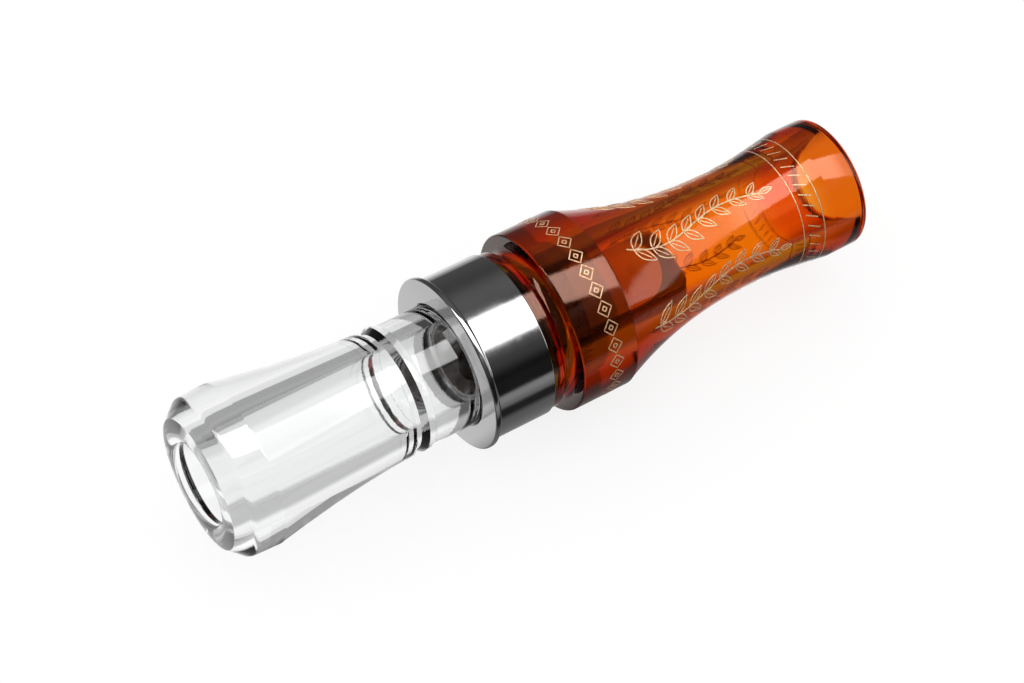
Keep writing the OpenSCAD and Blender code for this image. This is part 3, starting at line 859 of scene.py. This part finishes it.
class Engraver:
    """Draws filled lines on the barrel's outside. A line is a row of (station, angle) points."""

    def __init__(self, barrel, cut):
        self.barrel = barrel
        self.cut = cut
        self.shoulder_radius = reach("barrel") - cut.line_rise
        self.bm = bmesh.new()

    def radius(self, station):
        return barrel_radius(self.barrel, self.shoulder_radius, station)

    def on_surface(self, station, angle):
        return at(station, self.radius(station), angle)

    def line(self, points, width=1.0, closed=False):
        """Lays a low crowned ribbon along the points, with its edges sunk into the acrylic."""
        half = self.cut.line_width * width / 2
        rise = self.cut.line_rise
        count = len(points)
        rings = []
        for i, (station, angle) in enumerate(points):
            before = points[(i - 1) % count] if closed or i else points[0]
            after = points[(i + 1) % count] if closed or i < count - 1 else points[-1]
            along = self.on_surface(*after) - self.on_surface(*before)
            out = Vector((0.0, -math.sin(angle), math.cos(angle)))
            side = along.cross(out).normalized() * half
            centre = self.on_surface(station, angle)
            rings.append([self.bm.verts.new(centre + side * beside + out * (rise * height))
                          for beside, height in LINE_SECTION])
        if closed:
            rings.append(rings[0])
        else:
            self.bm.faces.new(rings[0])
            self.bm.faces.new(rings[-1])
        skin(self.bm, rings)

    def ring(self, station):
        """A line all the way round the barrel."""
        self.line([(station, a) for a in all_round(RING_STEPS)], RING_LINE, closed=True)

    def lozenges(self, station, height, count):
        """A row of lozenges round the barrel with a small one inside each."""
        step = 2 * math.pi / count
        for middle in all_round(count):
            for share in LOZENGE_SHARES:
                half_angle, half_height = step * share, height * share
                corners = [(station - half_height, middle), (station, middle + half_angle),
                           (station + half_height, middle), (station, middle - half_angle)]
                outline = []
                for (x0, a0), (x1, a1) in zip(corners, corners[1:] + corners[:1]):
                    outline += [(x0 + (x1 - x0) * t, a0 + (a1 - a0) * t) for t in shares(SIDE_STEPS)[:-1]]
                self.line(outline, LOZENGE_LINE, closed=True)

    def leaf(self, station, angle, heading, size):
        """A pointed leaf with a midrib. The heading is an angle from the axis, in the unrolled surface."""
        r = self.radius(station)

        def place(t, side):
            along = size * t
            beside = side * size * LEAF_FULLNESS * math.sin(math.pi * t ** LEAF_SWELL)
            dx = along * math.cos(heading) - beside * math.sin(heading)
            dy = along * math.sin(heading) + beside * math.cos(heading)
            return station + dx, angle + dy / r

        along = shares(LEAF_STEPS)
        outline = [place(t, 1) for t in along] + [place(t, -1) for t in along[-2:0:-1]]
        self.line(outline, LEAF_LINE, closed=True)
        self.line([place(t, 0) for t in MIDRIB_SHARES], MIDRIB_LINE)

    def spray(self, angle, start, end):
        """A waving stem along the barrel with pairs of leaves and one at its end."""
        cut = self.cut
        r = self.barrel.waist_radius

        def stem(t):
            return start + (end - start) * t, angle + cut.stem_sway * math.sin(2 * math.pi * t) / r

        self.line([stem(t) for t in shares(STEM_STEPS)])
        for k in range(cut.leaf_pairs):
            share = (k + FIRST_LEAF_SHARE) / cut.leaf_pairs
            lean = cut.leaf_lean - cut.lean_loss * share
            for heading in (lean, -lean):
                self.leaf(*stem(share), heading, cut.leaf_length - cut.leaf_loss * share)
        self.leaf(*stem(1.0), 0.0, cut.end_leaf)

    def strokes(self, station, size, count):
        """A row of short slanted strokes."""
        slant = size * STROKE_SLANT / self.radius(station)
        for a in all_round(count):
            stroke = [(station - size / 2, a - slant), (station, a), (station + size / 2, a + slant)]
            self.line(stroke, STROKE_LINE)

    def filled(self, name, material):
        """The drawn lines as one piece of filling."""
        return dress(finish_mesh(name, self.bm), material, "barrel", "polished_metal")


# Studio light


# What shine and glass see, as rows of (place, level) with smooth steps between them.
# The floor's places are millimetres towards the back, the studio's are heights from 0 to 1.
FLOOR_SHINE = ((-80, 0.02), (-60, 0.43), (-52, 0.43), (-40, 0.28), (-34, 0.03), (-28, 0.03),
               (-22, 0.2), (-11, 0.26), (-4, 1.0), (60, 1.0), (100, 0.55), (190, 0.12))
FLOOR_THROUGH = ((-60, 1.0), (-45, 0.55), (-10, 0.55), (-4, 1.0), (25, 1.0), (35, 0.82),
                 (68, 0.78), (84, 0.36))
FRONT_SHINE = ((0.08, 0.015), (0.4, 0.09), (0.52, 0.14), (0.68, 0.45), (0.74, 0.05))
BACK_SHINE = ((0.0, 0.12), (0.42, 0.1), (0.8, 0.2), (0.88, 0.18), (0.96, 0.05))
STUDIO_THROUGH = ((0.0, 0.36), (0.2, 0.4), (0.35, 0.33), (0.6, 0.1))
# The studio's back half lies this way, and the halves blend over a seam
BACKWARDS = Vector((0.36, 0.93, 0.0))
HALF_SEAM = 0.2
# Keeps the softbox's outline from being divided by nothing at right angles to it
LEAST_DEPTH = 0.001
# The softbox is dimmed towards the mouthpiece, and glass shows only a share of it
SOFTBOX_FULL_X = 0.43
SOFTBOX_DIM_X = 0.54
SOFTBOX_DIMMED = 0.3
SOFTBOX_THROUGH = 0.12


def direction(azimuth, elevation):
    """A unit vector from an angle round from +X and an angle above the horizon."""
    return Vector((math.cos(elevation) * math.cos(azimuth), math.cos(elevation) * math.sin(azimuth),
                   math.sin(elevation)))


def floor_material(s):
    """A pale matt floor, white to the camera, that keeps a shadow. Shine and glass see dark cards on it."""
    material, nodes, shader, output = new_material("Studio Floor")
    path = nodes.add("ShaderNodeLightPath").outputs
    nodes.fill(shader, Base_Color=s.floor_colour, Roughness=0.9, Specular_IOR_Level=0.0,
               Emission_Color=WHITE, Emission_Strength=nodes.product(path["Is Camera Ray"], s.floor_glow))
    position = nodes.add("ShaderNodeNewGeometry").outputs["Position"]
    row = nodes.maths("DIVIDE", nodes.axes(position)["Y"], MM)
    shiny = nodes.levels(row, FLOOR_SHINE)
    through = nodes.levels(row, FLOOR_THROUGH)
    glow = nodes.add("ShaderNodeEmission")
    nodes.fill(glow, Strength=nodes.choose(path["Is Transmission Ray"], shiny, through))
    choice = nodes.add("ShaderNodeMixShader")
    nodes.fill(choice, Fac=nodes.maths("MAXIMUM", path["Is Glossy Ray"], path["Is Transmission Ray"]))
    nodes.feed(choice.inputs[1], shader.outputs[0])
    nodes.feed(choice.inputs[2], glow.outputs[0])
    nodes.fill(output, Surface=choice.outputs[0])
    return material


def studio_world(s):
    """Plain light all round. Shine and glass see a dark studio with one long softbox and a white floor."""
    world = bpy.data.worlds.new("studio")
    world.use_nodes = True
    nodes = Nodes(world.node_tree)
    world.node_tree.nodes.clear()
    path = nodes.add("ShaderNodeLightPath").outputs
    x, y, z = nodes.axes(nodes.place("Generated"))

    def towards(vector):
        parts = [nodes.product(axis, value) for axis, value in zip((x, y, z), vector)]
        return nodes.maths("ADD", nodes.maths("ADD", parts[0], parts[1]), parts[2])

    def panel(centre, along, half_along, half_across, blur):
        """A soft-edged rectangle, as seen from the middle of the studio."""
        along = (along - centre * along.dot(centre)).normalized()
        front = towards(centre)
        depth = nodes.maths("MAXIMUM", front, LEAST_DEPTH)
        shape = nodes.maths("GREATER_THAN", front, 0.0)
        for axis, half in ((along, half_along), (centre.cross(along), half_across)):
            place = nodes.maths("ABSOLUTE", nodes.maths("DIVIDE", towards(axis), depth))
            shape = nodes.product(shape, nodes.ranged(place, half + blur, half - blur, smooth=True))
        return shape

    softbox = panel(centre=direction(math.radians(-35), math.radians(62)),
                    along=Vector((0.85, -0.5, -0.15)), half_along=3.0, half_across=0.27, blur=0.03)
    dimming = nodes.ranged(x, SOFTBOX_DIM_X, SOFTBOX_FULL_X, (SOFTBOX_DIMMED, 1.0), smooth=True)
    lamp = nodes.product(softbox, dimming, s.softbox_level)
    behind = nodes.ranged(towards(BACKWARDS), -HALF_SEAM, HALF_SEAM, smooth=True)
    shiny = nodes.choose(behind, nodes.levels(z, FRONT_SHINE), nodes.levels(z, BACK_SHINE))
    shiny = nodes.maths("ADD", shiny, lamp)
    through = nodes.maths("ADD", nodes.levels(z, STUDIO_THROUGH), nodes.product(lamp, SOFTBOX_THROUGH))
    seen = nodes.choose(path["Is Transmission Ray"], shiny, through)
    reflected = nodes.maths("MAXIMUM", path["Is Glossy Ray"], path["Is Transmission Ray"])
    reflected = nodes.product(reflected, nodes.maths("LESS_THAN", path["Diffuse Depth"], 0.5))
    level = nodes.choose(reflected, s.daylight, seen)
    level = nodes.choose(path["Is Camera Ray"], level, 1.0)
    background = nodes.fill(nodes.add("ShaderNodeBackground"), Color=WHITE, Strength=level)
    nodes.fill(nodes.add("ShaderNodeOutputWorld"), Surface=background.outputs[0])
    return world


# Operators, one for each piece or group of like pieces


class BIRDCALL_OT_insert(Operator):
    """Turn the clear bell insert"""

    bl_idname = "birdcall.insert"
    bl_label = "Bell Insert"

    def execute(self, context):
        s = settings(context)
        piece = lathe("bell_insert", insert_outline(s.bell))
        dress(piece, clear_acrylic(s.finish), "insert", "clear_acrylic", "insert")
        return {"FINISHED"}


class BIRDCALL_OT_barrel(Operator):
    """Turn the amber barrel with its waisted mouthpiece"""

    bl_idname = "birdcall.barrel"
    bl_label = "Barrel"

    def execute(self, context):
        s = settings(context)
        shoulder_radius = reach("barrel") - s.engraving.line_rise
        piece = lathe("amber_barrel", barrel_outline(s.barrel, shoulder_radius))
        dress(piece, amber_acrylic(s.finish), "barrel", "amber_acrylic", "barrel")
        return {"FINISHED"}


class BIRDCALL_OT_band(Operator):
    """Turn the polished band with its flange"""

    bl_idname = "birdcall.band"
    bl_label = "Metal Band"

    def execute(self, context):
        s = settings(context)
        piece = lathe("metal_band", band_outline(s.band, s.barrel.seat_radius))
        dress(piece, polished_metal(s.finish), "barrel", "polished_metal", "band")
        return {"FINISHED"}


class BIRDCALL_OT_seals(Operator):
    """Mould the two rubber sealing rings"""

    bl_idname = "birdcall.seals"
    bl_label = "Sealing Rings"

    def execute(self, context):
        material = seal_rubber(settings(context).finish)
        for node in ("front_o_ring", "rear_o_ring"):
            low, high = BOX[node]
            thickness = (high.x - low.x) / 2
            centre = (low.x + high.x) / 2 - FRONT_X
            section = arc(across(node) - thickness, centre, thickness, 0, 360, 4 * EDGE_STEPS)[:-1]
            piece = lathe(node.replace("_o_ring", "_seal"), section)
            dress(piece, material, "seals", "seal_rubber", node)
        return {"FINISHED"}


class BIRDCALL_OT_tone_board(Operator):
    """Give the tone board its satined dark plastic"""

    bl_idname = "birdcall.tone_board"
    bl_label = "Tone Board"

    def execute(self, context):
        node = frame["nodes"]["tone_board"]
        node.data.materials.clear()
        node.data.materials.append(board_plastic(settings(context).finish))
        return {"FINISHED"}


class BIRDCALL_OT_reeds(Operator):
    """Cut the long and the short reed from film"""

    bl_idname = "birdcall.reeds"
    bl_label = "Reeds"

    def execute(self, context):
        s = settings(context)
        inner = s.inner
        clear = reed_film("Clear Reed Film", s.finish.long_film, clearness=0.92)
        milky = reed_film("Milky Reed Film", s.finish.short_film, clearness=0.1)
        piece = reed_mesh("long_reed_film", "long_reed", inner.tip_round)
        dress(piece, clear, "reeds", "reed_film", "long_reed")

        low, high = BOX["short_reed"]
        piece = reed_mesh("short_reed_film", "short_reed", across("short_reed") * inner.short_tip)
        x = low.x + (high.x - low.x) * inner.dent_place
        dent(piece, Vector((x, 0.0, high.z + inner.dent_radius - inner.dent_depth)), inner.dent_radius)
        dress(piece, milky, "reeds", "reed_film", "short_reed")
        return {"FINISHED"}


class BIRDCALL_OT_wedge(Operator):
    """Shape the cork wedge that holds the reeds"""

    bl_idname = "birdcall.wedge"
    bl_label = "Cork Wedge"

    def execute(self, context):
        s = settings(context)
        dress(wedge_mesh("cork_wedge", s.inner), wedge_cork(s.finish), "insert", "wedge_cork", "wedge")
        return {"FINISHED"}


class BIRDCALL_OT_engraving(Operator):
    """Engrave the barrel with lozenges, leaf sprays and strokes, and fill the lines"""

    bl_idname = "birdcall.engraving"
    bl_label = "Engraving"

    def execute(self, context):
        s = settings(context)
        cut = s.engraving
        shoulder, shoulder_end, waist, mouth = barrel_places(s.barrel)
        filling = gold_filling(s.finish)

        engraver = Engraver(s.barrel, cut)
        row = shoulder + s.barrel.shoulder_length * cut.lozenge_place
        engraver.lozenges(row, cut.lozenge_height, cut.lozenges)
        engraver.filled("shoulder_lozenges", filling)

        engraver = Engraver(s.barrel, cut)
        for angle in all_round(cut.sprays):
            engraver.spray(angle + cut.spray_turn, shoulder_end + cut.spray_gap, waist + cut.spray_overlap)
        engraver.filled("waist_sprays", filling)

        engraver = Engraver(s.barrel, cut)
        engraver.strokes(mouth - cut.stroke_place, cut.stroke_length, cut.strokes)
        for place in (cut.front_ring_place, cut.rear_ring_place):
            engraver.ring(mouth - place)
        engraver.filled("mouth_strokes", filling)
        return {"FINISHED"}


class BIRDCALL_OT_stage(Operator):
    """Set up the camera, the white floor and the studio light"""

    bl_idname = "birdcall.stage"
    bl_label = "Studio"

    def execute(self, context):
        s = settings(context).studio
        scene = context.scene
        camera_data = bpy.data.cameras.new("camera")
        camera_data.lens = s.focal_length
        camera_data.clip_start = 10 * MM
        camera = bpy.data.objects.new("camera", camera_data)
        scene.collection.objects.link(camera)
        back = direction(s.azimuth - math.pi / 2, s.elevation)
        camera.location = Vector((*s.target, AXIS_Z)) + back * s.distance
        camera.rotation_mode = "QUATERNION"
        camera.rotation_quaternion = (-back).to_track_quat("-Z", "Y")
        scene.camera = camera

        bm = bmesh.new()
        bmesh.ops.create_grid(bm, x_segments=8, y_segments=8, size=s.floor_size)
        bmesh.ops.translate(bm, verts=bm.verts, vec=(0.0, 0.0, CAD_LOW.z - s.floor_gap))
        floor = finish_mesh("floor", bm)
        floor.data.materials.append(floor_material(s))
        scene.world = studio_world(s)
        scene.view_settings.view_transform = "Standard"
        return {"FINISHED"}


class BirdCallSettings(PropertyGroup):
    """Everything that a user would change."""

    bell: PointerProperty(type=BellSettings)
    barrel: PointerProperty(type=BarrelSettings)
    band: PointerProperty(type=BandSettings)
    inner: PointerProperty(type=InnerSettings)
    engraving: PointerProperty(type=EngravingSettings)
    finish: PointerProperty(type=FinishSettings)
    studio: PointerProperty(type=StudioSettings)


OPERATORS = (
    BIRDCALL_OT_stage,
    BIRDCALL_OT_insert,
    BIRDCALL_OT_barrel,
    BIRDCALL_OT_band,
    BIRDCALL_OT_seals,
    BIRDCALL_OT_tone_board,
    BIRDCALL_OT_reeds,
    BIRDCALL_OT_wedge,
    BIRDCALL_OT_engraving,
)


class BIRDCALL_PT_sidebar(Panel):
    """Lists the pieces of the bird call and their settings"""

    bl_label = "Bird Call"
    bl_idname = "BIRDCALL_PT_sidebar"
    bl_space_type = "VIEW_3D"
    bl_region_type = "UI"
    bl_category = "Bird Call"

    def draw(self, context):
        s = settings(context)
        for operator in OPERATORS:
            self.layout.operator(operator.bl_idname)
        for part in BirdCallSettings.__annotations__:
            box = self.layout.box()
            box.label(text=part.title())
            group = getattr(s, part)
            for key in group.__annotations__:
                box.prop(group, key)


CLASSES = (
    BellSettings,
    BarrelSettings,
    BandSettings,
    InnerSettings,
    EngravingSettings,
    FinishSettings,
    StudioSettings,
    BirdCallSettings,
    *OPERATORS,
    BIRDCALL_PT_sidebar,
)


def register():
    for each in CLASSES:
        bpy.utils.register_class(each)
    bpy.types.Scene.bird_call = PointerProperty(type=BirdCallSettings)


def unregister():
    del bpy.types.Scene.bird_call
    for each in reversed(CLASSES):
        bpy.utils.unregister_class(each)


def main():
    register()
    for operator in OPERATORS:
        family, name = operator.bl_idname.split(".")
        getattr(getattr(bpy.ops, family), name)()


if __name__ == "__main__":
    main()
